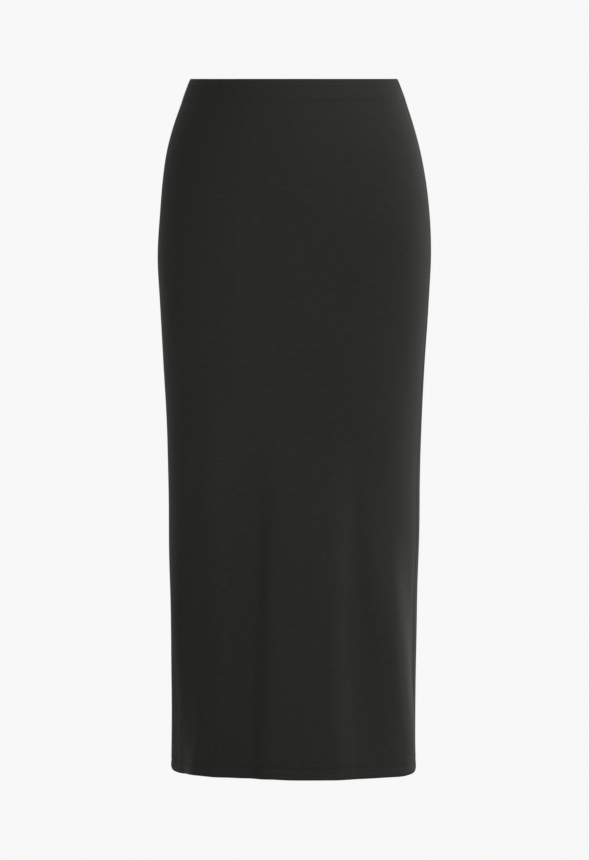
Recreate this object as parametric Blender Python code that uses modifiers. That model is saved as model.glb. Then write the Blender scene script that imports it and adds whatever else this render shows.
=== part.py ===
"""Maxi skirt: a pull-on column skirt of heavy jersey, open and hollow, in the shape it has when worn.

A front and a back panel meet at the side seams. Each panel is one sheet of cloth: its waist edge turns in
over a ring of knitted elastic, and its hem turns up inside. Units are metres. The origin is the middle of
the elastic's depth, +Z is up, and the front of the skirt faces -Y.
"""

import functools
import math
from collections import namedtuple

import bmesh
import bpy
import numpy as np
from mathutils import Vector

# Driving dimensions
LENGTH = 0.900  # waist edge to hem, down the side seams
FRONT_DIP = 0.0065  # how far the waist edge drops at the centre front
BACK_RISE = 0.0030  # and how far it climbs at the centre back
CLOTH = 0.0012  # thickness of the jersey
GAP = 0.0003  # clearance between pieces that touch
ELASTIC = 0.0015  # thickness of the elastic
ELASTIC_TOP = 0.0024  # its upper edge, below the waist edge
ELASTIC_FOOT = 0.0280  # its lower edge, below the waist edge
WAIST_TURNING = 0.0100  # depth of the cloth that is turned in over the elastic
HEM_TURNING = 0.0150  # depth of the cloth that is turned up at the hem
HEM_SLACK = 0.0004  # room between the hem's two layers
ELASTIC_SWELL = 0.0006  # how far the elastic lifts the cloth in front of it
SWELL_FADE = 0.0080  # height over which that lift dies away below the elastic
SEAM_MARGIN = 0.0015  # width of the narrow column of faces along each side seam
WELD = 0.00005  # points closer than this are one
SLOPE_STEP = 0.002  # how far to each side the cloth's slope is taken: metres down, panel halves across

WAIST_HEIGHT = (ELASTIC_TOP + ELASTIC_FOOT) / 2
WAIST_STACK = CLOTH + GAP + ELASTIC + GAP + CLOTH
WAIST_ROLL = WAIST_STACK / 2  # outer radius of the turned waist edge
HEM_ROLL = CLOTH + HEM_SLACK / 2  # outer radius of the turned hem

PANEL_COLUMNS = 36
ROLL_STEPS = 4
ELASTIC_COLUMNS = 84
RING_SAMPLES = 1440

# The form from waist to hem. "down" is the distance below the waist edge, and "middle" is how far the
# section lies to the side. A squareness of 2 gives an ellipse, and more gives a boxier corner. The "seam"
# columns say how far in front of the widest line each side seam runs.
Section = namedtuple(
    "Section",
    "place down half_width front_depth back_depth middle"
    " left_squareness right_squareness back_squareness left_seam right_seam",
)
SECTIONS = (
    Section("waist edge", 0.000, 0.1346, 0.0905, 0.0885, -0.0002, 2.05, 2.05, 2.05, 0.000, 0.002),
    Section("below elastic", 0.034, 0.1466, 0.0962, 0.0950, -0.0002, 2.05, 2.05, 2.05, -0.001, 0.004),
    Section("yoke line", 0.062, 0.1560, 0.1003, 0.1013, -0.0005, 2.05, 2.05, 2.05, -0.003, 0.006),
    Section("high hip", 0.092, 0.1641, 0.1040, 0.1080, -0.0004, 2.05, 2.05, 2.05, -0.004, 0.008),
    Section("upper hip", 0.130, 0.1706, 0.1072, 0.1148, 0.0002, 2.05, 2.05, 2.05, -0.005, 0.010),
    Section("seat", 0.175, 0.1750, 0.1092, 0.1205, 0.0006, 2.05, 2.05, 2.05, -0.006, 0.012),
    Section("full hip", 0.228, 0.1776, 0.1095, 0.1238, 0.0003, 2.05, 2.05, 2.05, -0.008, 0.014),
    Section("under seat", 0.290, 0.1749, 0.1078, 0.1210, 0.0003, 2.05, 2.05, 2.08, -0.009, 0.016),
    Section("thigh", 0.367, 0.1701, 0.1052, 0.1152, 0.0003, 2.05, 2.05, 2.10, -0.011, 0.019),
    Section("lower thigh", 0.445, 0.1661, 0.1026, 0.1098, 0.0002, 2.05, 2.06, 2.14, -0.013, 0.022),
    Section("above knee", 0.523, 0.1641, 0.1002, 0.1055, -0.0001, 2.05, 2.08, 2.18, -0.014, 0.024),
    Section("knee", 0.602, 0.1632, 0.0984, 0.1022, -0.0001, 2.08, 2.15, 2.20, -0.015, 0.025),
    Section("below knee", 0.680, 0.1610, 0.0970, 0.0997, -0.0004, 2.10, 2.25, 2.24, -0.016, 0.026),
    Section("calf", 0.758, 0.1599, 0.0964, 0.0983, -0.0005, 2.14, 2.45, 2.28, -0.016, 0.026),
    Section("lower calf", 0.836, 0.1594, 0.0963, 0.0976, -0.0007, 2.18, 2.70, 2.32, -0.016, 0.026),
    Section("hem", 0.900, 0.1599, 0.0965, 0.0975, -0.0009, 2.22, 2.90, 2.35, -0.016, 0.025),
)

# Soft vertical folds. Each is a strip of cloth that stands proud (or, below zero, sinks) between two soft
# edges. Edges are distances round the cloth from the centre front or centre back, positive towards +X, at
# the fold's own top and at the hem. "edge" is the width of the slope on each side. The fold grows from
# "starts" to "full", where it has its rise, and changes from there to its rise at the hem.
Fold = namedtuple(
    "Fold", "name side left_top left_hem right_top right_hem edge rise hem_rise starts full"
)
FOLDS = (
    Fold("left side", "front", -0.190, -0.190, -0.166, -0.162, 0.022, 0.0010, 0.0000, 0.60, 0.70),
    Fold("left facet", "front", -0.190, -0.190, -0.150, -0.150, 0.032, -0.0066, -0.0080, 0.68, 0.83),
    Fold("outer left hollow", "front", -0.158, -0.150, -0.121, -0.115, 0.030, -0.0060, 0.0000, 0.54, 0.84),
    Fold("left ridge", "front", -0.136, -0.128, -0.084, -0.101, 0.038, 0.0060, -0.0032, 0.38, 0.52),
    Fold("inner left hollow", "front", -0.058, -0.096, -0.032, -0.045, 0.028, -0.0060, -0.0074, 0.41, 0.62),
    Fold("front ridge", "front", -0.031, -0.050, 0.058, 0.067, 0.026, 0.0067, 0.0046, 0.44, 0.62),
    Fold("inner right hollow", "front", 0.053, 0.070, 0.080, 0.120, 0.034, -0.0065, -0.0020, 0.60, 0.84),
    Fold("right ridge", "front", 0.072, 0.150, 0.134, 0.182, 0.036, 0.0065, 0.0025, 0.54, 0.70),
    Fold("outer right hollow", "front", 0.174, 0.174, 0.190, 0.190, 0.020, -0.0020, 0.0000, 0.56, 0.70),
    Fold("back left hollow", "back", -0.160, -0.168, -0.128, -0.130, 0.030, -0.0040, -0.0030, 0.46, 0.78),
    Fold("back left ridge", "back", -0.104, -0.116, -0.040, -0.036, 0.030, 0.0056, 0.0046, 0.38, 0.66),
    Fold("back middle hollow", "back", -0.022, -0.024, 0.030, 0.026, 0.028, -0.0036, -0.0044, 0.36, 0.62),
    Fold("back right ridge", "back", 0.052, 0.046, 0.106, 0.122, 0.026, 0.0052, 0.0044, 0.42, 0.72),
    Fold("back right hollow", "back", 0.134, 0.142, 0.160, 0.170, 0.028, -0.0036, -0.0030, 0.50, 0.80),
)

# Heights of the cloth's rows on the outside of a panel, below the waist edge
PANEL_ROWS = (
    0.010, 0.020, 0.028, 0.036, 0.056, 0.082, 0.115, 0.150, 0.188, 0.226, 0.268, 0.312, 0.358,
    0.406, 0.454, 0.502, 0.550, 0.598, 0.646, 0.694, 0.740, 0.784, 0.824, 0.858, 0.885,
)  # fmt: skip
ELASTIC_ROWS = (ELASTIC_TOP, 0.010, 0.019, ELASTIC_FOOT)

JERSEY_COLOUR = (0.0235, 0.0225, 0.0195, 1)
ELASTIC_COLOUR = (0.014, 0.0135, 0.0125, 1)


def smooth_step(value):
    value = np.clip(value, 0, 1)
    return value * value * (3 - 2 * value)


def section_value(column, down):
    """One column of SECTIONS at any height, on a smooth curve through its rows."""
    places = np.array([section.down for section in SECTIONS])
    values = np.array([getattr(section, column) for section in SECTIONS])
    slopes = np.gradient(values, places)
    lower = int(np.clip(np.searchsorted(places, down) - 1, 0, len(places) - 2))
    span = places[lower + 1] - places[lower]
    t = (down - places[lower]) / span
    start = (2 * t**3 - 3 * t**2 + 1) * values[lower] + (t**3 - 2 * t**2 + t) * span * slopes[lower]
    end = (3 * t**2 - 2 * t**3) * values[lower + 1] + (t**3 - t**2) * span * slopes[lower + 1]
    return float(start + end)


def fold_lift(side, across, down):
    """How far the folds of one side push the cloth outwards, at distances across from its middle line."""
    lift = np.zeros_like(across)
    for fold in FOLDS:
        if fold.side != side:
            continue
        grown = smooth_step((down - fold.starts) / (fold.full - fold.starts))
        along = np.clip((down - fold.starts) / (LENGTH - fold.starts), 0, 1)
        left = fold.left_top + (fold.left_hem - fold.left_top) * along
        right = fold.right_top + (fold.right_hem - fold.right_top) * along
        rises = smooth_step((across - left) / fold.edge + 0.5)
        falls = smooth_step((across - right) / fold.edge + 0.5)
        faded = smooth_step((down - fold.full) / (LENGTH - fold.full))
        rise = fold.rise + (fold.hem_rise - fold.rise) * faded
        lift += rise * grown * (rises - falls)
    return lift


Ring = namedtuple("Ring", "arc x y z length left_seam right_seam")


@functools.lru_cache(maxsize=None)
def ring(down):
    """The cloth's outer line at one height, from centre back by the left side and the front to centre back.

    Arc positions are distances round the cloth from the centre front, positive towards +X."""
    angle = np.linspace(-np.pi, np.pi, RING_SAMPLES + 1)
    half_width = section_value("half_width", down)
    front = np.cos(angle) > 0
    depth = np.where(front, section_value("front_depth", down), section_value("back_depth", down))
    front_squareness = np.where(
        angle < 0, section_value("left_squareness", down), section_value("right_squareness", down)
    )
    squareness = np.where(front, front_squareness, section_value("back_squareness", down))
    radius = (
        (np.abs(np.sin(angle)) / half_width) ** squareness + (np.abs(np.cos(angle)) / depth) ** squareness
    ) ** (-1 / squareness)
    x = radius * np.sin(angle)
    y = -radius * np.cos(angle)
    steps = np.hypot(np.diff(x), np.diff(y))
    arc = np.concatenate([[0], np.cumsum(steps)])
    length = arc[-1]
    arc = arc - np.interp(0, angle, arc)
    from_back = np.where(arc > 0, length / 2 - arc, -(length / 2 + arc))
    lift = np.where(front, fold_lift("front", arc, down), fold_lift("back", from_back, down))
    lift += ELASTIC_SWELL * (1 - smooth_step((down - ELASTIC_FOOT) / SWELL_FADE + 0.5))
    outward_x, outward_y = np.gradient(y, arc), -np.gradient(x, arc)
    size = np.hypot(outward_x, outward_y)
    x = x + lift * outward_x / size + section_value("middle", down)
    y = y + lift * outward_y / size
    lean = np.where(y < 0, FRONT_DIP, BACK_RISE) * y / depth
    z = WAIST_HEIGHT - down + lean * (1 - down / LENGTH)
    left = (x < 0) & (np.abs(y) < depth / 2)
    right = (x > 0) & (np.abs(y) < depth / 2)
    left_seam = np.interp(section_value("left_seam", down), -y[left], arc[left])
    right_seam = np.interp(-section_value("right_seam", down), y[right], arc[right])
    return Ring(arc, x, y, z, length, left_seam, right_seam)


def outer_point(panel, across, down):
    """A point on the cloth's outer face. "across" runs from -1 to 1: left to right over the front, on round
    the back, or once round the whole skirt from centre back."""
    line = ring(round(down, 7))
    if panel == "front":
        start, end = line.left_seam + GAP / 2, line.right_seam - GAP / 2
    elif panel == "back":
        start, end = line.right_seam + GAP / 2, line.left_seam + line.length - GAP / 2
    else:
        start, end = -line.length / 2, line.length / 2
    place = start + (end - start) * (across + 1) / 2
    place = (place - line.arc[0]) % line.length + line.arc[0]
    return Vector(float(np.interp(place, line.arc, values)) for values in (line.x, line.y, line.z))


def cloth_point(panel, across, down, inset):
    """A point this far inside the cloth's outer face, square to it."""
    above, below = max(down - SLOPE_STEP, 0), min(down + SLOPE_STEP, LENGTH)
    along = outer_point(panel, across + SLOPE_STEP, down) - outer_point(panel, across - SLOPE_STEP, down)
    up = outer_point(panel, across, above) - outer_point(panel, across, below)
    return outer_point(panel, across, down) - inset * along.cross(up).normalized()


def rolled_edge(radius, edge, direction):
    """(down, inset) pairs round a turned edge, from its inner side to its outer side."""
    turns = [math.pi * (1 - step / ROLL_STEPS) for step in range(ROLL_STEPS + 1)]
    return [
        (edge - direction * radius * (1 - math.sin(turn)), radius * (1 - math.cos(turn)))
        for turn in turns
    ]


def panel_path():
    """(down, inset) of each row of a panel: down inside the waist turning, over the waist edge, down the
    outside, round the hem and up the inside of its turning."""
    waist = [(WAIST_TURNING, 2 * WAIST_ROLL)] + rolled_edge(WAIST_ROLL, 0, -1)
    outside = [(down, 0) for down in PANEL_ROWS]
    hem = rolled_edge(HEM_ROLL, LENGTH, 1)[::-1] + [(LENGTH - HEM_TURNING, 2 * HEM_ROLL)]
    return waist + outside + hem


def cloth_sheet(name, panel, columns, path, thickness, collection, material):
    """One sheet of cloth: a grid whose points are laid on the form, then thickened inwards."""
    bpy.ops.mesh.primitive_grid_add(
        x_subdivisions=len(columns) - 1, y_subdivisions=len(path) - 1, size=2
    )
    sheet = bpy.context.object
    sheet.name = sheet.data.name = name
    for vertex in sheet.data.vertices:
        column = round((vertex.co.x + 1) / 2 * (len(columns) - 1))
        row = round((1 - vertex.co.y) / 2 * (len(path) - 1))
        vertex.co = cloth_point(panel, columns[column], *path[row])
    if panel == "whole":
        join_ends(sheet.data)
    wall = sheet.modifiers.new("wall", "SOLIDIFY")
    wall.thickness = thickness
    wall.offset = -1
    wall.use_even_offset = True
    sheet.data.shade_smooth()
    sheet.data.materials.append(material)
    for holder in sheet.users_collection:
        holder.objects.unlink(sheet)
    collection.objects.link(sheet)
    return sheet


def join_ends(mesh):
    """Makes the first and last columns of a ring one."""
    shape = bmesh.new()
    shape.from_mesh(mesh)
    bmesh.ops.remove_doubles(shape, verts=shape.verts, dist=WELD)
    shape.to_mesh(mesh)
    shape.free()


def cloth_material(name, colour, roughness):
    material = bpy.data.materials.new(name)
    material.use_nodes = True
    shader = material.node_tree.nodes["Principled BSDF"]
    shader.inputs["Base Color"].default_value = colour
    shader.inputs["Roughness"].default_value = roughness
    shader.inputs["Metallic"].default_value = 0
    shader.inputs["Sheen Weight"].default_value = 0.3
    return material


def panel_columns():
    """Where the columns of a panel stand: evenly across it, with a narrow one along each seam."""
    half_panel = ring(LENGTH / 2).length / 4
    inner = 1 - SEAM_MARGIN / half_panel
    return [-1, *np.linspace(-inner, inner, PANEL_COLUMNS + 1), 1]


def build():
    for obj in list(bpy.data.objects):
        bpy.data.objects.remove(obj)
    skirt = bpy.data.collections.new("maxi_skirt")
    bpy.context.scene.collection.children.link(skirt)
    jersey = cloth_material("jersey", JERSEY_COLOUR, 0.8)
    elastic = cloth_material("elastic", ELASTIC_COLOUR, 0.7)
    columns = panel_columns()
    cloth_sheet("front_panel", "front", columns, panel_path(), CLOTH, skirt, jersey)
    cloth_sheet("back_panel", "back", columns, panel_path(), CLOTH, skirt, jersey)
    around = np.linspace(-1, 1, ELASTIC_COLUMNS + 1)
    elastic_path = [(down, CLOTH + GAP) for down in ELASTIC_ROWS]
    cloth_sheet("waist_elastic", "whole", around, elastic_path, ELASTIC, skirt, elastic)


build()
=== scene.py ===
"""Maxi skirt: the looks of a pull-on column skirt in heavy off-black jersey, open and hollow as it is worn.

Each section makes one piece or one kind of sewing. What several of them share stands in the first that
needs it. Units are metres, +Z is up, the front of the skirt faces -Y, and the origin is the middle of the
waist elastic's depth.
"""

import functools
import math
from collections import namedtuple

import bpy
import numpy as np
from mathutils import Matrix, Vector


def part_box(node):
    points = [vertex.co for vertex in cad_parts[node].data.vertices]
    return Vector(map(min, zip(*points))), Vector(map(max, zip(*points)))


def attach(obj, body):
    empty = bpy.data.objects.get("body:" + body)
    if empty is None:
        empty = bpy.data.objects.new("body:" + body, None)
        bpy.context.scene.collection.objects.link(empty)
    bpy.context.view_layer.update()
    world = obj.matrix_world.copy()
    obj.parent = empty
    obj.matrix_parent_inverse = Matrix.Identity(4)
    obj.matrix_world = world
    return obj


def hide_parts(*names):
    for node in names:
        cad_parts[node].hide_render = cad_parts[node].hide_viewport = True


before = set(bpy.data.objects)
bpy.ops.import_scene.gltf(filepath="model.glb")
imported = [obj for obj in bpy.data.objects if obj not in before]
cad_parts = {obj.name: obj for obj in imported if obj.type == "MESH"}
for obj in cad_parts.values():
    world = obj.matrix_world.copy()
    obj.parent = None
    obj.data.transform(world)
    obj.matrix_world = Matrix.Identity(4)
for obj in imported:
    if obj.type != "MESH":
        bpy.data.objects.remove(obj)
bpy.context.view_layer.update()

# --------------------------------------------------------------------------------------------------
# Camera
# A long lens 4 m in front of the skirt and a little above its middle. It looks down by 2.5 degrees, so
# that the hem shows as a shallow curve and nothing of the inside shows at the waist.
HEM_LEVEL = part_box("front_panel")[0].z
CAMERA_DISTANCE = 4.0
CAMERA_SIDE = 0.0006
CAMERA_ABOVE_HEM = 0.617
CAMERA_PITCH = math.radians(2.4830)  # how far it looks down
LENS_MM = 128.60
SENSOR_MM = 36

bpy.ops.object.camera_add(
    location=(CAMERA_SIDE, -CAMERA_DISTANCE, HEM_LEVEL + CAMERA_ABOVE_HEM),
    rotation=(math.pi / 2 - CAMERA_PITCH, 0, 0),
)
camera = bpy.context.object
camera.data.lens = LENS_MM
camera.data.sensor_width = SENSOR_MM
bpy.context.scene.camera = camera

# --------------------------------------------------------------------------------------------------
# Front panel
# One piece of heavy double-knit jersey without a centre seam. Its waist edge turns in over the elastic,
# its hem turns up inside, and its sides are sewn to the back panel with the cut edges inside.
LENGTH = 0.900  # waist edge to hem, down the side seams
FRONT_DIP = 0.0065  # how far the waist edge drops at the centre front
BACK_RISE = 0.0030  # and how far it climbs at the centre back
CLOTH = 0.0012  # thickness of the jersey
GAP = 0.0003  # clearance between layers
ELASTIC = 0.0015  # thickness of the elastic
ELASTIC_TOP = 0.0024  # its two edges, below the waist edge
ELASTIC_FOOT = 0.0280
WAIST_TURNING = 0.0100  # how far the waist edge reaches down inside
HEM_TURNING = 0.0150  # how far the hem reaches up inside
HEM_SLACK = 0.0004  # room between the hem's two layers
WAIST_HEIGHT = (ELASTIC_TOP + ELASTIC_FOOT) / 2
WAIST_ROLL = CLOTH + GAP + ELASTIC / 2  # outer radius of the turned waist edge
HEM_ROLL = CLOTH + HEM_SLACK / 2  # outer radius of the turned hem
SEAM_ROLL = 0.00125  # outer radius of a panel's side edge, where it turns in to the seam
SEAM_DEPTH = 0.0018  # how far that edge reaches in
RING_SAMPLES = 2400  # points worked out round the skirt at each height
SLOPE_STEP = 0.0006  # how far apart two points lie that give the cloth's slope

# The form from waist to hem, as the solids have it. "down" is the distance below the waist edge.
Section = namedtuple(
    "Section",
    "place down half_width front_depth back_depth middle"
    " left_squareness right_squareness back_squareness left_seam right_seam",
)
SECTIONS = (
    Section("waist edge", 0.000, 0.1346, 0.0905, 0.0885, -0.0002, 2.05, 2.05, 2.05, 0.000, 0.002),
    Section("below elastic", 0.034, 0.1466, 0.0962, 0.0950, -0.0002, 2.05, 2.05, 2.05, -0.001, 0.004),
    Section("yoke line", 0.062, 0.1560, 0.1003, 0.1013, -0.0005, 2.05, 2.05, 2.05, -0.003, 0.006),
    Section("high hip", 0.092, 0.1641, 0.1040, 0.1080, -0.0004, 2.05, 2.05, 2.05, -0.004, 0.008),
    Section("upper hip", 0.130, 0.1706, 0.1072, 0.1148, 0.0002, 2.05, 2.05, 2.05, -0.005, 0.010),
    Section("seat", 0.175, 0.1750, 0.1092, 0.1205, 0.0006, 2.05, 2.05, 2.05, -0.006, 0.012),
    Section("full hip", 0.228, 0.1776, 0.1095, 0.1238, 0.0003, 2.05, 2.05, 2.05, -0.008, 0.014),
    Section("under seat", 0.290, 0.1749, 0.1078, 0.1210, 0.0003, 2.05, 2.05, 2.08, -0.009, 0.016),
    Section("thigh", 0.367, 0.1701, 0.1052, 0.1152, 0.0003, 2.05, 2.05, 2.10, -0.011, 0.019),
    Section("lower thigh", 0.445, 0.1661, 0.1026, 0.1098, 0.0002, 2.05, 2.06, 2.14, -0.013, 0.022),
    Section("above knee", 0.523, 0.1641, 0.1002, 0.1055, -0.0001, 2.05, 2.08, 2.18, -0.014, 0.024),
    Section("knee", 0.602, 0.1632, 0.0984, 0.1022, -0.0001, 2.08, 2.15, 2.20, -0.015, 0.025),
    Section("below knee", 0.680, 0.1610, 0.0970, 0.0997, -0.0004, 2.10, 2.25, 2.24, -0.016, 0.026),
    Section("calf", 0.758, 0.1599, 0.0964, 0.0983, -0.0005, 2.14, 2.45, 2.28, -0.016, 0.026),
    Section("lower calf", 0.836, 0.1594, 0.0963, 0.0976, -0.0007, 2.18, 2.70, 2.32, -0.016, 0.026),
    Section("hem", 0.900, 0.1599, 0.0965, 0.0975, -0.0009, 2.22, 2.90, 2.35, -0.016, 0.025),
)

# Soft vertical folds, as the solids have them: strips of cloth that stand proud, or sink where the rise
# is below zero, between two soft edges. "starts" and "full" are distances below the waist edge.
Fold = namedtuple(
    "Fold", "name side left_top left_hem right_top right_hem edge rise hem_rise starts full"
)
FOLDS = (
    Fold("left side", "front", -0.190, -0.190, -0.166, -0.162, 0.022, 0.0010, 0.0000, 0.60, 0.70),
    Fold("left facet", "front", -0.190, -0.190, -0.150, -0.150, 0.032, -0.0066, -0.0080, 0.68, 0.83),
    Fold("outer left hollow", "front", -0.158, -0.150, -0.121, -0.115, 0.030, -0.0060, 0.0000, 0.54, 0.84),
    Fold("left ridge", "front", -0.136, -0.128, -0.084, -0.101, 0.038, 0.0060, -0.0032, 0.38, 0.52),
    Fold("inner left hollow", "front", -0.058, -0.096, -0.032, -0.045, 0.028, -0.0060, -0.0074, 0.41, 0.62),
    Fold("front ridge", "front", -0.031, -0.050, 0.058, 0.067, 0.026, 0.0067, 0.0046, 0.44, 0.62),
    Fold("inner right hollow", "front", 0.053, 0.070, 0.080, 0.120, 0.034, -0.0065, -0.0020, 0.60, 0.84),
    Fold("right ridge", "front", 0.072, 0.150, 0.134, 0.182, 0.036, 0.0065, 0.0025, 0.54, 0.70),
    Fold("outer right hollow", "front", 0.174, 0.174, 0.190, 0.190, 0.020, -0.0020, 0.0000, 0.56, 0.70),
    Fold("back left hollow", "back", -0.160, -0.168, -0.128, -0.130, 0.030, -0.0040, -0.0030, 0.46, 0.78),
    Fold("back left ridge", "back", -0.104, -0.116, -0.040, -0.036, 0.030, 0.0056, 0.0046, 0.38, 0.66),
    Fold("back middle hollow", "back", -0.022, -0.024, 0.030, 0.026, 0.028, -0.0036, -0.0044, 0.36, 0.62),
    Fold("back right ridge", "back", 0.052, 0.046, 0.106, 0.122, 0.026, 0.0052, 0.0044, 0.42, 0.72),
    Fold("back right hollow", "back", 0.134, 0.142, 0.160, 0.170, 0.028, -0.0036, -0.0030, 0.50, 0.80),
)

# Small creases. Each runs between two points of the cloth, given as distances from the side's middle
# line and below the waist edge, and stands proud, or sinks where its rise is below zero. Some run off
# the hem.
CREASE_FADE = 1.5  # how softly each one dies away at its ends
Crease = namedtuple("Crease", "side across_start down_start across_end down_end half_width rise")
CREASES = (
    Crease("front", -0.034, 0.450, -0.057, 1.020, 0.0130, -0.00250),
    Crease("front", 0.073, 0.430, 0.090, 0.740, 0.0110, -0.00260),
    Crease("front", 0.176, 0.780, 0.178, 0.930, 0.0120, 0.00120),
    Crease("front", 0.130, 0.590, 0.134, 0.900, 0.0120, 0.00170),
    Crease("front", 0.072, 0.720, 0.0735, 1.060, 0.0070, 0.00130),
    Crease("front", -0.134, 0.700, -0.133, 1.000, 0.0075, 0.00200),
    Crease("front", -0.174, 0.700, -0.180, 1.060, 0.0070, 0.00110),
    Crease("front", 0.158, 0.640, 0.180, 0.870, 0.0130, -0.00150),
    Crease("front", -0.204, 0.876, -0.176, 0.880, 0.0026, -0.00045),
    Crease("front", -0.206, 0.884, -0.168, 0.888, 0.0022, 0.00030),
    Crease("front", -0.190, 0.893, -0.160, 0.896, 0.0020, -0.00025),
    Crease("front", -0.150, 0.868, -0.128, 0.878, 0.0034, -0.00030),
    Crease("front", 0.168, 0.887, 0.196, 0.892, 0.0024, 0.00035),
    Crease("front", 0.150, 0.872, 0.176, 0.879, 0.0030, -0.00025),
    Crease("front", -0.150, 0.070, -0.110, 0.094, 0.0080, -0.00035),
    Crease("front", 0.118, 0.064, 0.150, 0.096, 0.0080, -0.00030),
    Crease("back", -0.120, 0.060, -0.030, 0.086, 0.0090, -0.00055),
    Crease("back", 0.020, 0.074, 0.112, 0.056, 0.0080, -0.00045),
    Crease("back", -0.070, 0.330, 0.024, 0.352, 0.0120, -0.00060),
    Crease("back", -0.016, 0.378, 0.086, 0.350, 0.0120, -0.00050),
    Crease("back", -0.190, 0.872, -0.160, 0.880, 0.0030, -0.00040),
    Crease("back", 0.166, 0.884, 0.198, 0.879, 0.0026, 0.00035),
    Crease("back", -0.060, 0.880, -0.036, 0.872, 0.0030, -0.00030),
)

# The needle lines that hold the waist turning and the hem, below the waist edge. Each draws the cloth in
# a little.
NeedleLine = namedtuple("NeedleLine", "down depth half_width")
WAIST_LINES = (NeedleLine(0.0056, 0.00016, 0.0006), NeedleLine(0.0106, 0.00024, 0.0008))
HEM_LINES = (NeedleLine(LENGTH - 0.0165, 0.00018, 0.0008), NeedleLine(LENGTH - 0.0138, 0.00042, 0.0011))

# What the elastic and the doubled hem do to the cloth, which is less or more at the sides
SIDE_FOCUS = 6  # how narrowly "at the sides" is meant: a higher number is narrower
ELASTIC_SWELL = 0.0013  # how far the elastic pushes the cloth out at its foot
SWELL_FADE = 0.0080  # the height in which the cloth falls back there
SWELL_LOST_AT_SIDES = 0.75  # share of it that the side seams hold down
WAIST_EASE = 0.0016  # how far the topmost cloth leans in over the elastic's edge
WAIST_EASE_DEPTH = 0.0090
HEM_FLARE = 0.0017  # how far the doubled hem stands out from the single cloth above it
FLARE_LOST_AT_SIDES = 0.6
HEM_CURL = 0.0034  # how far the hem's edge rolls in where it goes round the sides
HEM_CURL_DEPTH = 0.0085
HEM_CURL_TIGHTNESS = 2.5  # a higher number keeps the roll nearer to the edge

# The cloth's slight unevenness: whole waves round the skirt, with their length down it, which is below
# zero for those that lean the other way
Wave = namedtuple("Wave", "around down phase height")
WAVES = (
    Wave(7, 0.410, 0.4, 0.00018),
    Wave(11, -0.270, 2.1, 0.00014),
    Wave(5, 0.130, 4.0, 0.00012),
    Wave(17, 0.190, 1.3, 0.00008),
)
WAVE_CLEARANCE = 0.050  # the height in which the waves die away towards the elastic and the hem

# Puckers at the sewn edges: waves round the skirt, how much their spacing wanders, and their height
Pucker = namedtuple("Pucker", "around wander wander_around phase height")
PUCKERS = (Pucker(53, 1.9, 4, 0.3, 0.00010), Pucker(37, 2.6, 7, 1.7, 0.00009))
PUCKER_REACH = 0.0085  # how far above and below the sewing they show
WAIST_PUCKERS = 0.5  # how high they are at the elastic's foot, as a share of those at the hem

# Where the hem hangs lower than level, or higher where the drop is below zero, at distances round the
# skirt from the front's middle line
Sag = namedtuple("Sag", "across half_width drop")
SAGS = (
    Sag(-0.184, 0.029, 0.0030),
    Sag(-0.134, 0.010, -0.0006),
    Sag(-0.030, 0.018, -0.0011),
    Sag(0.148, 0.016, 0.0011),
    Sag(-0.310, 0.040, -0.0010),
    Sag(0.340, 0.030, 0.0009),
)
SAG_REACH = 0.100  # the height above the hem in which a sag dies away


def smooth_step(value):
    value = np.clip(value, 0, 1)
    return value * value * (3 - 2 * value)


def section_value(column, down):
    """One column of SECTIONS at any height, on a smooth curve through its rows."""
    places = np.array([section.down for section in SECTIONS])
    values = np.array([getattr(section, column) for section in SECTIONS])
    slopes = np.gradient(values, places)
    lower = int(np.clip(np.searchsorted(places, down) - 1, 0, len(places) - 2))
    span = places[lower + 1] - places[lower]
    t = (down - places[lower]) / span
    start = (2 * t**3 - 3 * t**2 + 1) * values[lower] + (t**3 - 2 * t**2 + t) * span * slopes[lower]
    end = (3 * t**2 - 2 * t**3) * values[lower + 1] + (t**3 - t**2) * span * slopes[lower + 1]
    return float(start + end)


def fold_lift(side, across, down):
    """How far the folds and creases of one side push the cloth out, at distances from its middle line."""
    lift = np.zeros_like(across)
    for fold in FOLDS:
        if fold.side != side or down < fold.starts:
            continue
        grown = smooth_step((down - fold.starts) / (fold.full - fold.starts))
        along = np.clip((down - fold.starts) / (LENGTH - fold.starts), 0, 1)
        left = fold.left_top + (fold.left_hem - fold.left_top) * along
        right = fold.right_top + (fold.right_hem - fold.right_top) * along
        rises = smooth_step((across - left) / fold.edge + 0.5)
        falls = smooth_step((across - right) / fold.edge + 0.5)
        faded = smooth_step((down - fold.full) / (LENGTH - fold.full))
        rise = fold.rise + (fold.hem_rise - fold.rise) * faded
        lift += rise * grown * (rises - falls)
    for crease in CREASES:
        reach = abs(crease.down_end - crease.down_start) / 2 + 3 * crease.half_width
        if crease.side != side or abs(down - (crease.down_start + crease.down_end) / 2) > reach:
            continue
        run = np.array([crease.across_end - crease.across_start, crease.down_end - crease.down_start])
        size = np.hypot(*run)
        offset_across, offset_down = across - crease.across_start, down - crease.down_start
        share = (offset_across * run[0] + offset_down * run[1]) / size**2
        beside = (offset_across * run[1] - offset_down * run[0]) / size
        fades = np.sin(np.pi * np.clip(share, 0, 1)) ** CREASE_FADE
        lift += crease.rise * fades * np.exp(-((beside / crease.half_width) ** 2))
    return lift


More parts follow.
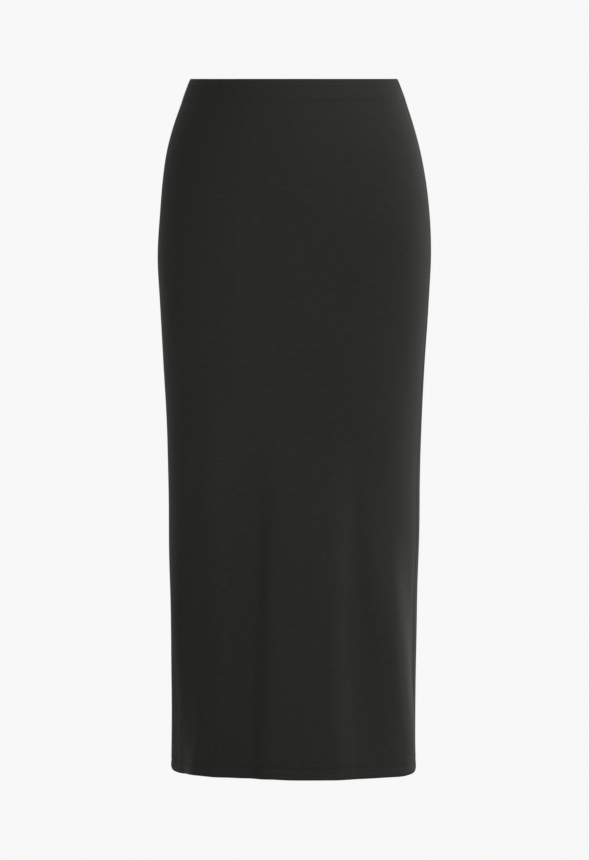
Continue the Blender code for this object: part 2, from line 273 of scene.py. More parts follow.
def sewn_lift(turn, down):
    """What the sewing, the elastic and the cloth's unevenness add. "turn" is the angle round the skirt."""
    beside = np.abs(np.sin(turn)) ** SIDE_FOCUS
    swollen = min(down / ELASTIC_FOOT, 1) * (1 - smooth_step((down - ELASTIC_FOOT) / SWELL_FADE + 0.5))
    eased = 1 - smooth_step(down / WAIST_EASE_DEPTH)
    lift = (ELASTIC_SWELL * swollen - WAIST_EASE * eased) * (1 - SWELL_LOST_AT_SIDES * beside)
    for line in WAIST_LINES + HEM_LINES:
        lift -= line.depth * math.exp(-(((down - line.down) / line.half_width) ** 2))
    flared = max(down - HEM_LINES[1].down, 0) / (LENGTH - HEM_LINES[1].down)
    curled = (max(down - LENGTH + HEM_CURL_DEPTH, 0) / HEM_CURL_DEPTH) ** HEM_CURL_TIGHTNESS
    lift = lift + HEM_FLARE * flared * (1 - FLARE_LOST_AT_SIDES * beside) - HEM_CURL * curled * beside
    below_elastic = smooth_step((down - ELASTIC_FOOT) / WAVE_CLEARANCE)
    above_hem = smooth_step((LENGTH - down) / WAVE_CLEARANCE)
    for wave in WAVES:
        angle = wave.around * turn + 2 * np.pi * down / wave.down + wave.phase
        lift = lift + wave.height * below_elastic * above_hem * np.sin(angle)
    near_sewing = math.exp(-(((down - HEM_LINES[0].down) / PUCKER_REACH) ** 2))
    near_sewing += WAIST_PUCKERS * math.exp(-(((down - ELASTIC_FOOT) / PUCKER_REACH) ** 2))
    for pucker in PUCKERS:
        angle = pucker.around * turn + pucker.wander * np.sin(pucker.wander_around * turn + pucker.phase)
        lift = lift + pucker.height * near_sewing * np.sin(angle)
    return lift


Ring = namedtuple("Ring", "arc x y z length left_seam right_seam")


@functools.lru_cache(maxsize=None)
def ring(down):
    """The cloth's outer line all round at one height, from centre back by the left side and the front to
    centre back. Arc positions are distances round the cloth from the centre front, positive to +X."""
    angle = np.linspace(-np.pi, np.pi, RING_SAMPLES + 1)
    half_width = section_value("half_width", down)
    front = np.cos(angle) > 0
    depth = np.where(front, section_value("front_depth", down), section_value("back_depth", down))
    front_squareness = np.where(
        angle < 0, section_value("left_squareness", down), section_value("right_squareness", down)
    )
    squareness = np.where(front, front_squareness, section_value("back_squareness", down))
    radius = (
        (np.abs(np.sin(angle)) / half_width) ** squareness + (np.abs(np.cos(angle)) / depth) ** squareness
    ) ** (-1 / squareness)
    x = radius * np.sin(angle)
    y = -radius * np.cos(angle)
    arc = np.concatenate([[0], np.cumsum(np.hypot(np.diff(x), np.diff(y)))])
    length = arc[-1]
    arc = arc - np.interp(0, angle, arc)
    from_back = np.where(arc > 0, length / 2 - arc, -(length / 2 + arc))
    lift = np.where(front, fold_lift("front", arc, down), fold_lift("back", from_back, down))
    lift = lift + sewn_lift(2 * np.pi * arc / length, down)
    outward_x, outward_y = np.gradient(y, arc), -np.gradient(x, arc)
    size = np.hypot(outward_x, outward_y)
    x = x + lift * outward_x / size + section_value("middle", down)
    y = y + lift * outward_y / size
    lean = np.where(y < 0, FRONT_DIP, BACK_RISE) * y / depth
    z = WAIST_HEIGHT - down + lean * (1 - down / LENGTH)
    for sag in SAGS:
        reach = smooth_step((down - LENGTH + SAG_REACH) / SAG_REACH)
        z -= sag.drop * reach * np.exp(-(((arc - sag.across) / sag.half_width) ** 2))
    left = (x < 0) & (np.abs(y) < depth / 2)
    right = (x > 0) & (np.abs(y) < depth / 2)
    left_seam = np.interp(section_value("left_seam", down), -y[left], arc[left])
    right_seam = np.interp(-section_value("right_seam", down), y[right], arc[right])
    return Ring(arc, x, y, z, length, left_seam, right_seam)


def on_cloth(down):
    """This height, kept between the waist edge and the hem, and rounded so that no ring is made twice."""
    return round(min(max(down, 0), LENGTH), 7)


def ring_places(panel, down, shares, beyond):
    """Arc positions on the ring at one height. Shares run from -1 to 1 over the front, over the back or
    all round, and "beyond" is a distance past each."""
    line = ring(down)
    start, end = {
        "front": (line.left_seam, line.right_seam),
        "back": (line.right_seam, line.left_seam + line.length),
        "whole": (-line.length / 2, line.length / 2),
    }[panel]
    return start + (end - start) * (shares + 1) / 2 + beyond


def outer_points(down, places):
    """Points of the cloth's outer face at one height, at these arc positions."""
    line = ring(down)
    wrapped = (places - line.arc[0]) % line.length + line.arc[0]
    return np.stack([np.interp(wrapped, line.arc, values) for values in (line.x, line.y, line.z)], axis=1)


def cloth_points(down, places, inset):
    """Points this far inside the cloth's outer face, at one height and these arc positions."""
    down = on_cloth(down)
    above = on_cloth(down - SLOPE_STEP)
    below = on_cloth(down + SLOPE_STEP)
    along = outer_points(down, places + SLOPE_STEP) - outer_points(down, places - SLOPE_STEP)
    up = outer_points(above, places) - outer_points(below, places)
    outward = np.cross(along, up)
    outward /= np.linalg.norm(outward, axis=1)[:, None]
    return outer_points(down, places) - np.asarray(inset)[..., None] * outward


def rolled_edge(radius, edge, direction, steps):
    """(down, inset) pairs round a turned edge, from its inner side to its outer side."""
    turns = [math.pi * (1 - step / steps) for step in range(steps + 1)]
    return [
        (edge - direction * radius * (1 - math.sin(turn)), radius * (1 - math.cos(turn)))
        for turn in turns
    ]


def spaced(start, end, spacing):
    """Values from start to end at about this spacing, without the end."""
    count = max(1, round((end - start) / spacing))
    return [start + (end - start) * step / count for step in range(count)]


# Rows of points down the outside of a panel, from each of these heights to the next. They lie close
# together where something is sewn.
Rows = namedtuple("Rows", "place starts spacing")
OUTSIDE_ROWS = (
    Rows("waist stitching", WAIST_ROLL + 0.0006, 0.0006),
    Rows("over the elastic", 0.0135, 0.0021),
    Rows("skirt", 0.0440, 0.0056),
    Rows("above the hem", 0.8600, 0.0019),
    Rows("hem", 0.8790, 0.0007),
)
WAIST_TURNING_ROW = 0.0013
HEM_TURNING_ROW = 0.0017
WAIST_ROLL_STEPS = 10
HEM_ROLL_STEPS = 8


def panel_path():
    """(down, inset) of each row of a panel: up inside the waist turning, over the waist edge, down the
    outside, round the hem and up the inside of its turning."""
    turning = spaced(-WAIST_TURNING, -WAIST_ROLL, WAIST_TURNING_ROW)
    path = [(-down, 2 * WAIST_ROLL) for down in turning] + rolled_edge(WAIST_ROLL, 0, -1, WAIST_ROLL_STEPS)
    ends = [rows.starts for rows in OUTSIDE_ROWS[1:]] + [LENGTH - HEM_ROLL]
    for rows, end in zip(OUTSIDE_ROWS, ends):
        path += [(down, 0) for down in spaced(rows.starts, end, rows.spacing)]
    path += rolled_edge(HEM_ROLL, LENGTH, 1, HEM_ROLL_STEPS)[::-1]
    turning = spaced(HEM_ROLL - LENGTH, HEM_TURNING - LENGTH, HEM_TURNING_ROW)
    path += [(-down, 2 * HEM_ROLL) for down in turning[1:]]
    return path + [(LENGTH - HEM_TURNING, 2 * HEM_ROLL)]


SEAM_ROLL_STEPS = 4
SEAM_COLUMNS = (0.0007, 0.0016)  # the first columns of points past that roll, from its foot
SIDE_SHARE = 0.021  # share of a panel's half width that the roll and those columns take up


def panel_columns(count):
    """(share, beyond, inset) of each column of a panel. The columns at each side turn in to the seam."""
    turned = [(0, SEAM_DEPTH)]
    for step in range(SEAM_ROLL_STEPS + 1):
        turn = math.pi / 2 * step / SEAM_ROLL_STEPS
        turned.append((SEAM_ROLL * (1 - math.cos(turn)), SEAM_ROLL * (1 - math.sin(turn))))
    turned += [(SEAM_ROLL + beyond, 0) for beyond in SEAM_COLUMNS]
    left = [(-1, beyond, inset) for beyond, inset in turned]
    right = [(1, -beyond, inset) for beyond, inset in reversed(turned)]
    middle = [(share, 0, 0) for share in np.linspace(SIDE_SHARE - 1, 1 - SIDE_SHARE, count)]
    return left + middle + right


SHARP_EDGE = math.radians(50)  # the smallest angle that isn't shaded smooth


def finish_wall(sheet, thickness):
    """Gives an open sheet its thickness, inwards, and smooth shading."""
    wall = sheet.modifiers.new("wall", "SOLIDIFY")
    wall.thickness = thickness
    wall.offset = -1
    wall.use_even_offset = True
    bpy.context.view_layer.objects.active = sheet
    bpy.ops.object.modifier_apply(modifier=wall.name)
    bpy.ops.object.shade_smooth_by_angle(angle=SHARP_EDGE)


def cloth_sheet(name, panel, columns, path, thickness, material):
    """A sheet of cloth: a grid laid on the form, with a UV map in metres, thickened inwards."""
    bpy.ops.object.select_all(action="DESELECT")
    bpy.ops.mesh.primitive_grid_add(
        x_subdivisions=len(columns) - 1, y_subdivisions=len(path) - 1, size=2, calc_uvs=True
    )
    sheet = bpy.context.object
    sheet.name = sheet.data.name = name
    shares, beyond, column_insets = np.array(columns).T
    points = np.zeros((len(path), len(columns), 3))
    spread = np.zeros((len(path), len(columns), 2))
    fallen = 0  # distance down the cloth
    for row, (down, inset) in enumerate(path):
        places = ring_places(panel, on_cloth(down), shares, beyond)
        points[row] = cloth_points(down, places, inset + column_insets)
        if row:
            middle = len(columns) // 2
            fallen += np.linalg.norm(points[row, middle] - points[row - 1, middle])
        spread[row, :, 0] = places
        spread[row, :, 1] = -fallen
    # The grid goes from -1 to 1 both ways, so the place of a vertex gives its column and its row.
    grid = np.zeros(len(sheet.data.vertices) * 3)
    sheet.data.vertices.foreach_get("co", grid)
    grid = grid.reshape(-1, 3)
    column_of = np.rint((grid[:, 0] + 1) / 2 * (len(columns) - 1)).astype(int)
    row_of = np.rint((1 - grid[:, 1]) / 2 * (len(path) - 1)).astype(int)
    sheet.data.vertices.foreach_set("co", points[row_of, column_of].ravel())
    corner_vertices = np.zeros(len(sheet.data.loops), int)
    sheet.data.loops.foreach_get("vertex_index", corner_vertices)
    layer = sheet.data.uv_layers[0]
    layer.name = "cloth"
    layer.data.foreach_set("uv", spread[row_of, column_of][corner_vertices].ravel())
    sheet.data.update()
    finish_wall(sheet, thickness)
    sheet.data.materials.append(material)
    return sheet


JERSEY_COLOUR = (0.0235, 0.0226, 0.0200)
JERSEY_ROUGHNESS = 0.70
JERSEY_SPECULAR = 0.20
JERSEY_SHEEN = 0.10
JERSEY_SHEEN_ROUGHNESS = 0.45
WALE = 0.0009  # width of one column of knit loops
COURSE = 0.0008  # height of one row of them
COURSE_SHARE = 0.3  # how much of a loop's height rises and falls along its column
YARN_SCALE = (95, 290, 1)  # how often the yarn changes in a metre, round the skirt and down it
YARN_DETAIL = 3
CLOUD_SCALE = (9, 7, 1)
CLOUD_DETAIL = 1
KNIT_RELIEF = 0.55  # how much each of these raises the surface
YARN_RELIEF = 1.1
RELIEF_STRENGTH = 0.35
RELIEF_HEIGHT = 0.00022
YARN_TONE = 0.58  # how much each of these varies the colour
CLOUD_TONE = 0.14
KNIT_TONE = 0.05
NOISE_MEAN = 0.5  # mean of the yarn's and the cloud's pattern
KNIT_MEAN = 0.4  # and of the knit's


def jersey_material():
    """Fine double knit: columns of small V-shaped loops, yarn that varies a little in tone and thickness
    along each row, and a broad, faint cloudiness."""
    material = bpy.data.materials.new("off_black_jersey")
    material.use_nodes = True
    nodes, links = material.node_tree.nodes, material.node_tree.links
    shader = nodes["Principled BSDF"]
    shader.inputs["Roughness"].default_value = JERSEY_ROUGHNESS
    shader.inputs["Specular IOR Level"].default_value = JERSEY_SPECULAR
    shader.inputs["Sheen Weight"].default_value = JERSEY_SHEEN
    shader.inputs["Sheen Roughness"].default_value = JERSEY_SHEEN_ROUGHNESS

    def math_node(operation, *values):
        node = nodes.new("ShaderNodeMath")
        node.operation = operation
        for socket, value in zip(node.inputs, values):
            if isinstance(value, (int, float)):
                socket.default_value = value
            else:
                links.new(value, socket)
        return node.outputs[0]

    def noise(scale, detail):
        stretched = nodes.new("ShaderNodeMapping")
        stretched.inputs["Scale"].default_value = scale
        links.new(cloth.outputs["UV"], stretched.inputs["Vector"])
        texture = nodes.new("ShaderNodeTexNoise")
        texture.inputs["Scale"].default_value = 1
        texture.inputs["Detail"].default_value = detail
        links.new(stretched.outputs["Vector"], texture.inputs["Vector"])
        return texture.outputs["Fac"]

    cloth = nodes.new("ShaderNodeUVMap")
    cloth.uv_map = "cloth"
    parts = nodes.new("ShaderNodeSeparateXYZ")
    links.new(cloth.outputs["UV"], parts.inputs["Vector"])
    across, down = parts.outputs["X"], parts.outputs["Y"]

    wale = math_node("FRACT", math_node("DIVIDE", across, WALE))
    leg = math_node("ABSOLUTE", math_node("SINE", math_node("MULTIPLY", wale, 2 * math.pi)))
    slant = math_node("ABSOLUTE", math_node("SUBTRACT", wale, 0.5))
    row = math_node("ADD", math_node("DIVIDE", down, COURSE), slant)
    loop = math_node("SINE", math_node("MULTIPLY", row, 2 * math.pi))
    knit = math_node("MULTIPLY", leg, math_node("MULTIPLY_ADD", loop, COURSE_SHARE, 1 - COURSE_SHARE))

    yarn = noise(YARN_SCALE, YARN_DETAIL)
    cloud = noise(CLOUD_SCALE, CLOUD_DETAIL)
    knit_relief = math_node("MULTIPLY", knit, KNIT_RELIEF)
    yarn_relief = math_node("MULTIPLY", yarn, YARN_RELIEF)

    bump = nodes.new("ShaderNodeBump")
    bump.inputs["Strength"].default_value = RELIEF_STRENGTH
    bump.inputs["Distance"].default_value = RELIEF_HEIGHT
    links.new(math_node("ADD", knit_relief, yarn_relief), bump.inputs["Height"])
    links.new(bump.outputs["Normal"], shader.inputs["Normal"])

    yarn_tone = math_node("MULTIPLY", yarn, YARN_TONE)
    cloud_tone = math_node("MULTIPLY", cloud, CLOUD_TONE)
    knit_tone = math_node("MULTIPLY", knit, KNIT_TONE)
    tone = math_node("ADD", math_node("ADD", yarn_tone, cloud_tone), knit_tone)
    tone = math_node("ADD", tone, 1 - NOISE_MEAN * (YARN_TONE + CLOUD_TONE) - KNIT_MEAN * KNIT_TONE)
    # Of this node's sockets, 0 is the factor, 6 and 7 are the two colours and 2 is the mixed colour.
    shade = nodes.new("ShaderNodeMix")
    shade.data_type = "RGBA"
    shade.blend_type = "MULTIPLY"
    shade.inputs[0].default_value = 1
    shade.inputs[6].default_value = (*JERSEY_COLOUR, 1)
    links.new(tone, shade.inputs[7])
    links.new(shade.outputs[2], shader.inputs["Base Color"])
    return material


jersey = jersey_material()

FRONT_COLUMNS = 140  # columns of points between the side seams
front = cloth_sheet("front_jersey", "front", panel_columns(FRONT_COLUMNS), panel_path(), CLOTH, jersey)
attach(front, "root")
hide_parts("front_panel")

# --------------------------------------------------------------------------------------------------
# Back panel
# The same jersey, cut a little wider than the front because it has more of the hip to go round. Its
# edges are turned and sewn as the front's are.
BACK_COLUMNS = 146
back = cloth_sheet("back_jersey", "back", panel_columns(BACK_COLUMNS), panel_path(), CLOTH, jersey)
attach(back, "root")
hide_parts("back_panel")

# --------------------------------------------------------------------------------------------------
# Waist elastic
# A band of knitted elastic with fine ribs that run round the waist, joined into a ring. It lies inside
# the turned waist edge, hangs free below it, and is stretched a little when the skirt is worn.
ELASTIC_COLOUR = (0.0140, 0.0136, 0.0128)
ELASTIC_ROUGHNESS = 0.6
ELASTIC_SPECULAR = 0.35
ELASTIC_RIB = 0.00142  # from one rib to the next
ELASTIC_RIB_HEIGHT = 0.00010
ELASTIC_COLUMNS = 260
RIB_ROWS = 4  # rows of points for each rib
UPRIGHT_SCALE = 230  # how close together the upright threads lie
UPRIGHT_WANDER = 1.5
UPRIGHT_DETAIL = 1
UPRIGHT_STRENGTH = 0.5
UPRIGHT_HEIGHT = 0.00015

rib_count = round((ELASTIC_FOOT - ELASTIC_TOP) / ELASTIC_RIB)
elastic_path = []
for step in range(rib_count * RIB_ROWS + 1):
    share = step / (rib_count * RIB_ROWS)
    rib = math.cos(2 * math.pi * share * rib_count)
    elastic_path.append(
        (ELASTIC_TOP + share * (ELASTIC_FOOT - ELASTIC_TOP), CLOTH + GAP + ELASTIC_RIB_HEIGHT * (1 + rib))
    )
around = [(share, 0, 0) for share in np.linspace(-1, 1, ELASTIC_COLUMNS + 1)]


def elastic_material():
    """Covered rubber under a matt warp knit: faint upright threads cross the ribs."""
    material = bpy.data.materials.new("waist_elastic")
    material.use_nodes = True
    nodes, links = material.node_tree.nodes, material.node_tree.links
    shader = nodes["Principled BSDF"]
    shader.inputs["Base Color"].default_value = (*ELASTIC_COLOUR, 1)
    shader.inputs["Roughness"].default_value = ELASTIC_ROUGHNESS
    shader.inputs["Specular IOR Level"].default_value = ELASTIC_SPECULAR
    cloth = nodes.new("ShaderNodeUVMap")
    cloth.uv_map = "cloth"
    threads = nodes.new("ShaderNodeTexWave")
    threads.wave_type = "BANDS"
    threads.bands_direction = "X"
    threads.inputs["Scale"].default_value = UPRIGHT_SCALE
    threads.inputs["Distortion"].default_value = UPRIGHT_WANDER
    threads.inputs["Detail"].default_value = UPRIGHT_DETAIL
    links.new(cloth.outputs["UV"], threads.inputs["Vector"])
    bump = nodes.new("ShaderNodeBump")
    bump.inputs["Strength"].default_value = UPRIGHT_STRENGTH
    bump.inputs["Distance"].default_value = UPRIGHT_HEIGHT
    links.new(threads.outputs["Fac"], bump.inputs["Height"])
    links.new(bump.outputs["Normal"], shader.inputs["Normal"])
    return material


elastic = cloth_sheet(
    "knitted_elastic", "whole", around, elastic_path, ELASTIC - 2 * ELASTIC_RIB_HEIGHT, elastic_material()
)
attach(elastic, "root")
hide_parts("waist_elastic")

# --------------------------------------------------------------------------------------------------
# Stitching outside
# Two rows of short straight stitches round the waist and two round the hem, in thread dyed to match.
# They are the needle side of the twin-needle machine that holds each turned edge down.
THREAD = 0.00011  # half the thickness of the thread
STITCH = 0.0030  # from one needle hole to the next
THREAD_COLOUR = (0.020, 0.0195, 0.0180)
THREAD_ROUGHNESS = 0.55
THREAD_SPECULAR = 0.3

thread_material = bpy.data.materials.new("dyed_thread")
thread_material.use_nodes = True
thread_shader = thread_material.node_tree.nodes["Principled BSDF"]
thread_shader.inputs["Base Color"].default_value = (*THREAD_COLOUR, 1)
thread_shader.inputs["Roughness"].default_value = THREAD_ROUGHNESS
thread_shader.inputs["Specular IOR Level"].default_value = THREAD_SPECULAR


def sew(name, runs, radius, roundness=0):
    """One piece from many runs of thread. Each run is a list of points and whether it closes on itself."""
    line = bpy.data.curves.new(name, "CURVE")
    line.dimensions = "3D"
    line.bevel_depth = radius
    line.bevel_resolution = roundness
    line.use_fill_caps = True
    for points, closed in runs:
        spline = line.splines.new("POLY")
        spline.points.add(len(points) - 1)
        spline.points.foreach_set("co", np.column_stack([points, np.ones(len(points))]).ravel())
        spline.use_cyclic_u = closed
    thread = bpy.data.objects.new(name, line)
    bpy.context.collection.objects.link(thread)
    bpy.ops.object.select_all(action="DESELECT")
    thread.select_set(True)
    bpy.context.view_layer.objects.active = thread
    bpy.ops.object.convert(target="MESH")
    thread = bpy.context.object
    thread.name = thread.data.name = name
    bpy.ops.object.shade_smooth()
    thread.data.materials.append(thread_material)
    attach(thread, "root")


# One stitch: (share of its length, height over the cloth in thread radii)
STITCH_ARCH = ((0.06, -1.6), (0.16, 0.2), (0.34, 0.9), (0.66, 0.9), (0.84, 0.2), (0.94, -1.6))


def straight_stitches(down):
    """Short arches of thread round the skirt at this height. Each rises from one needle hole and dives
    into the next."""
    shares, heights = np.array(STITCH_ARCH).T
    length = ring(on_cloth(down)).length
    count = round(length / STITCH)
    places = (np.arange(count)[:, None] + shares) * length / count
    points = cloth_points(down, places.ravel(), np.tile(-heights * THREAD, count))
    return [(arch, False) for arch in points.reshape(count, len(shares), 3)]


for name, lines in (("waist_stitches", WAIST_LINES), ("hem_stitches", HEM_LINES)):
    sew(name, [run for line in lines for run in straight_stitches(line.down)], THREAD, roundness=1)

# --------------------------------------------------------------------------------------------------
# Stitching inside
# The looper thread of the same machine zigzags between the two needle rows over the cut edge of each
# turning, at the waist over the cloth's inner layer and at the hem over the turned-up cloth.
LOOPER_THREAD = 0.00016  # half the thickness of the thread
WAIST_OVERHANG = -0.0004  # how far it goes past the needle rows, or stays within them where below zero
HEM_OVERHANG = 0.0004


def looper(lines, inset, overhang):
    """One zigzag all round, from one needle row to the other."""
    top, foot = on_cloth(lines[0].down - overhang), on_cloth(lines[1].down + overhang)
    count = round(ring(top).length / STITCH)
    rows = []
    for down, shift in ((top, 0), (foot, 0.5)):
        places = (np.arange(count) + shift) * ring(down).length / count
        rows.append(cloth_points(down, places, inset))
    return [(np.stack(rows, axis=1).reshape(-1, 3), True)]


waist_zigzag = looper(WAIST_LINES, 2 * WAIST_ROLL + LOOPER_THREAD, WAIST_OVERHANG)
hem_zigzag = looper(HEM_LINES, 2 * HEM_ROLL + LOOPER_THREAD, HEM_OVERHANG)
sew("waist_looper_thread", waist_zigzag, LOOPER_THREAD)
sew("hem_looper_thread", hem_zigzag, LOOPER_THREAD)

# --------------------------------------------------------------------------------------------------
# Side seam allowances
# Inside each side seam the cut edges of both panels lie together against the back panel, 8 mm wide. They
# run from under the elastic to the turned-up hem.
ALLOWANCE = 0.0080
END_GAP = 0.0012  # between it and the elastic, and between it and the turned-up hem
LAYER_GAP = 0.0001  # between its two layers
PANEL_GAP = 0.0005  # between it and the back panel
ALLOWANCE_TOP = ELASTIC_FOOT + END_GAP
ALLOWANCE_FOOT = LENGTH - HEM_TURNING - END_GAP
ALLOWANCE_ROLL = CLOTH + LAYER_GAP / 2  # outer radius of the fold at the seam, which joins its layers
ALLOWANCE_INSET = CLOTH + PANEL_GAP  # its outer layer's face, inside the cloth's outer face
ALLOWANCE_COLUMN = 0.0011
ALLOWANCE_ROW = 0.0055
ALLOWANCE_ROLL_STEPS = 6

layer_columns = [-beyond for beyond in spaced(-ALLOWANCE, -ALLOWANCE_ROLL, ALLOWANCE_COLUMN)]
seam_fold = rolled_edge(ALLOWANCE_ROLL, 0, -1, ALLOWANCE_ROLL_STEPS)
allowance_section = [(beyond, ALLOWANCE_INSET + 2 * ALLOWANCE_ROLL) for beyond in layer_columns]
allowance_section += [(beyond, ALLOWANCE_INSET + inset) for beyond, inset in seam_fold]
allowance_section += [(beyond, ALLOWANCE_INSET) for beyond in reversed(layer_columns)]
allowance_downs = spaced(ALLOWANCE_TOP, ALLOWANCE_FOOT, ALLOWANCE_ROW) + [ALLOWANCE_FOOT]
allowance_path = [(down, 0) for down in allowance_downs]

for side, share in (("left", -1), ("right", 1)):
    columns = [(share, share * beyond, inset) for beyond, inset in allowance_section[::share]]
    allowance = cloth_sheet(side + "_seam_allowance", "front", columns, allowance_path, CLOTH, jersey)
    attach(allowance, "root")

# --------------------------------------------------------------------------------------------------
# Overlock
# The thread that binds the cut edges of each side seam. It loops round both layers again and again on its
# way down, and a row of needle stitches holds the loops 4 mm in from the edge.
OVERLOCK_THREAD = 0.00014  # half the thickness of the thread
OVERLOCK_PITCH = 0.0024  # from one loop to the next
OVERLOCK_NEEDLE = 0.0040  # the needle row, from the seam
OUTER_TURN = OVERLOCK_NEEDLE + 0.0014  # where the loops turn back on the outer layer
NEAR_EDGE = ALLOWANCE - 0.0004
PAST_EDGE = ALLOWANCE + OVERLOCK_THREAD
INNER_FACE = ALLOWANCE_INSET + 2 * ALLOWANCE_ROLL + OVERLOCK_THREAD
OUTER_FACE = ALLOWANCE_INSET - OVERLOCK_THREAD
EDGE_DEPTH = (INNER_FACE + OUTER_FACE) / 2
FLAT = 0.3 * OVERLOCK_THREAD  # how far the needle thread lies over the loops, at its ends and its middle
RAISED = 1.2 * OVERLOCK_THREAD
SEAM_HEIGHTS = 160  # heights at which the line of the thread is worked out

# Points of one loop and of one needle stitch: distance from the seam, depth inside the cloth's outer face
# and share of the pitch
ThreadPoint = namedtuple("ThreadPoint", "beyond inset along")
OVERLOCK_LOOP = (
    ThreadPoint(OVERLOCK_NEEDLE, INNER_FACE, 0.00),
    ThreadPoint(NEAR_EDGE, INNER_FACE, 0.30),
    ThreadPoint(PAST_EDGE, EDGE_DEPTH, 0.38),
    ThreadPoint(NEAR_EDGE, OUTER_FACE, 0.46),
    ThreadPoint(OUTER_TURN, OUTER_FACE, 0.55),
    ThreadPoint(NEAR_EDGE, OUTER_FACE, 0.64),
    ThreadPoint(PAST_EDGE, EDGE_DEPTH, 0.72),
    ThreadPoint(NEAR_EDGE, INNER_FACE, 0.80),
)
NEEDLE_STITCH = (
    ThreadPoint(OVERLOCK_NEEDLE, INNER_FACE + FLAT, 0.1),
    ThreadPoint(OVERLOCK_NEEDLE, INNER_FACE + RAISED, 0.5),
    ThreadPoint(OVERLOCK_NEEDLE, INNER_FACE + FLAT, 0.9),
)

seam_downs = [on_cloth(down) for down in np.linspace(ALLOWANCE_TOP, ALLOWANCE_FOOT, SEAM_HEIGHTS)]


def beside_seam(share, beyond, inset, downs):
    """Points this far from one side seam and this far inside the cloth, at any heights down it."""
    rows = []
    for down in seam_downs:
        place = ring_places("front", down, np.array([share]), share * beyond)
        rows.append(cloth_points(down, place, inset)[0])
    return np.stack([np.interp(downs, seam_downs, values) for values in np.transpose(rows)], axis=1)


def thread_down_seam(share, loop):
    """One loop of thread repeated all the way down a side seam."""
    tops = np.arange(ALLOWANCE_TOP, ALLOWANCE_FOOT - 2 * OVERLOCK_PITCH, OVERLOCK_PITCH)
    strands = []
    for point in loop:
        strands.append(beside_seam(share, point.beyond, point.inset, tops + point.along * OVERLOCK_PITCH))
    return np.stack(strands, axis=1).reshape(-1, 3), False


for side, share in (("left", -1), ("right", 1)):
    runs = [thread_down_seam(share, OVERLOCK_LOOP), thread_down_seam(share, NEEDLE_STITCH)]
    sew(side + "_overlock_thread", runs, OVERLOCK_THREAD)

# --------------------------------------------------------------------------------------------------
# Floor and backdrop
# A plain pale floor, at the height of the wearer's soles, and a pale dome far behind everything. Both
# glow evenly and leave the light on the skirt to the lamps. The floor can be looked through from below.
PALE = 0.936
HEM_ABOVE_FLOOR = 0.14
FLOOR_LEVEL = HEM_LEVEL - HEM_ABOVE_FLOOR
STUDIO_RADIUS = 16

pale = bpy.data.materials.new("pale_studio")
pale.use_nodes = True
pale_nodes, pale_links = pale.node_tree.nodes, pale.node_tree.links
pale_nodes.remove(pale_nodes["Principled BSDF"])
glow = pale_nodes.new("ShaderNodeEmission")
glow.inputs["Color"].default_value = (PALE, PALE, PALE, 1)
see_through = pale_nodes.new("ShaderNodeBsdfTransparent")
which_side = pale_nodes.new("ShaderNodeNewGeometry")
either = pale_nodes.new("ShaderNodeMixShader")
pale_links.new(which_side.outputs["Backfacing"], either.inputs[0])
pale_links.new(glow.outputs[0], either.inputs[1])
pale_links.new(see_through.outputs[0], either.inputs[2])
pale_links.new(either.outputs[0], pale_nodes["Material Output"].inputs["Surface"])

bpy.ops.object.select_all(action="DESELECT")
bpy.ops.mesh.primitive_circle_add(
    vertices=96, radius=STUDIO_RADIUS, fill_type="NGON", location=(0, 0, FLOOR_LEVEL)
)
floor = bpy.context.object
floor.name = "floor"
bpy.ops.mesh.primitive_uv_sphere_add(segments=48, ring_count=24, radius=STUDIO_RADIUS)
backdrop = bpy.context.object
backdrop.name = "backdrop"
backdrop.data.flip_normals()
for stand in (floor, backdrop):
    stand.data.materials.append(pale)
    stand.visible_diffuse = stand.visible_glossy = stand.visible_shadow = False

# --------------------------------------------------------------------------------------------------
# Light
# Soft studio light: an even glow all round, boxes in front, low down and overhead that shape the folds,
# and boxes behind each side that draw the edges. The right side is the bright one. A narrow beam at the
# lower left lights one fold.
GLOW = 0.25

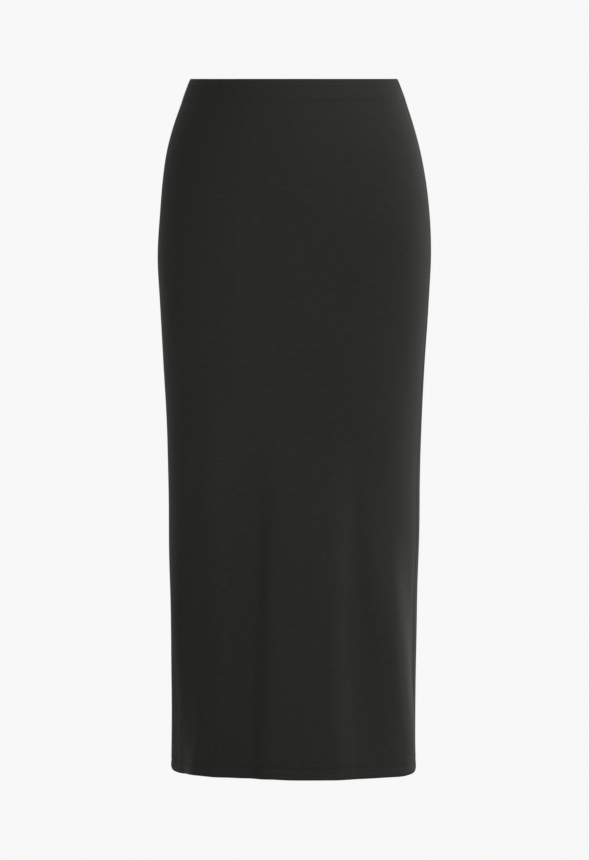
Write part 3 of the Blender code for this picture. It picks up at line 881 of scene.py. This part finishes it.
# Azimuths go round from the front in degrees, positive towards +X. "aim" is the height that a lamp points
# at, and a spread below 180 degrees narrows its beam.
Lamp = namedtuple("Lamp", "name azimuth distance height aim width tall power spread")
LAMPS = (
    Lamp("right edge", 125, 1.8, 0.25, -0.10, 0.40, 0.55, 3.4, 180),
    Lamp("right middle edge", 115, 1.8, -0.40, -0.43, 0.40, 0.55, 2.0, 180),
    Lamp("right lower edge", 125, 1.8, -1.00, -0.72, 0.40, 0.55, 3.5, 180),
    Lamp("left edge", -138, 1.8, -0.40, -0.43, 0.40, 0.55, 0.6, 180),
    Lamp("low left edge", -112, 1.2, -1.00, -0.94, 0.12, 0.12, 0.021, 20),
    Lamp("right box", 75, 0.9, -0.70, -0.70, 0.25, 0.25, 1.6, 180),
    Lamp("front box", -25, 0.9, -0.35, -0.40, 0.25, 0.60, 2.0, 180),
    Lamp("low box", 25, 0.9, -1.00, -1.00, 0.25, 0.25, 1.0, 180),
    Lamp("overhead right", 70, 0.8, 0.35, -0.02, 0.40, 0.20, 1.5, 180),
    Lamp("overhead", 30, 0.5, 0.55, 0.00, 0.40, 0.20, 1.8, 180),
)

world = bpy.data.worlds.new("studio_glow")
world.use_nodes = True
world.node_tree.nodes["Background"].inputs["Color"].default_value = (1, 1, 1, 1)
world.node_tree.nodes["Background"].inputs["Strength"].default_value = GLOW
bpy.context.scene.world = world
bpy.context.scene.view_settings.view_transform = "Standard"

for lamp in LAMPS:
    turn = math.radians(lamp.azimuth)
    place = Vector((lamp.distance * math.sin(turn), -lamp.distance * math.cos(turn), lamp.height))
    bpy.ops.object.light_add(type="AREA", location=place)
    light = bpy.context.object
    light.name = light.data.name = lamp.name.replace(" ", "_")
    light.rotation_euler = (Vector((0, 0, lamp.aim)) - place).to_track_quat("-Z", "Y").to_euler()
    light.data.shape = "RECTANGLE"
    light.data.size = lamp.width
    light.data.size_y = lamp.tall
    light.data.energy = lamp.power
    light.data.spread = math.radians(lamp.spread)
    light.visible_camera = False
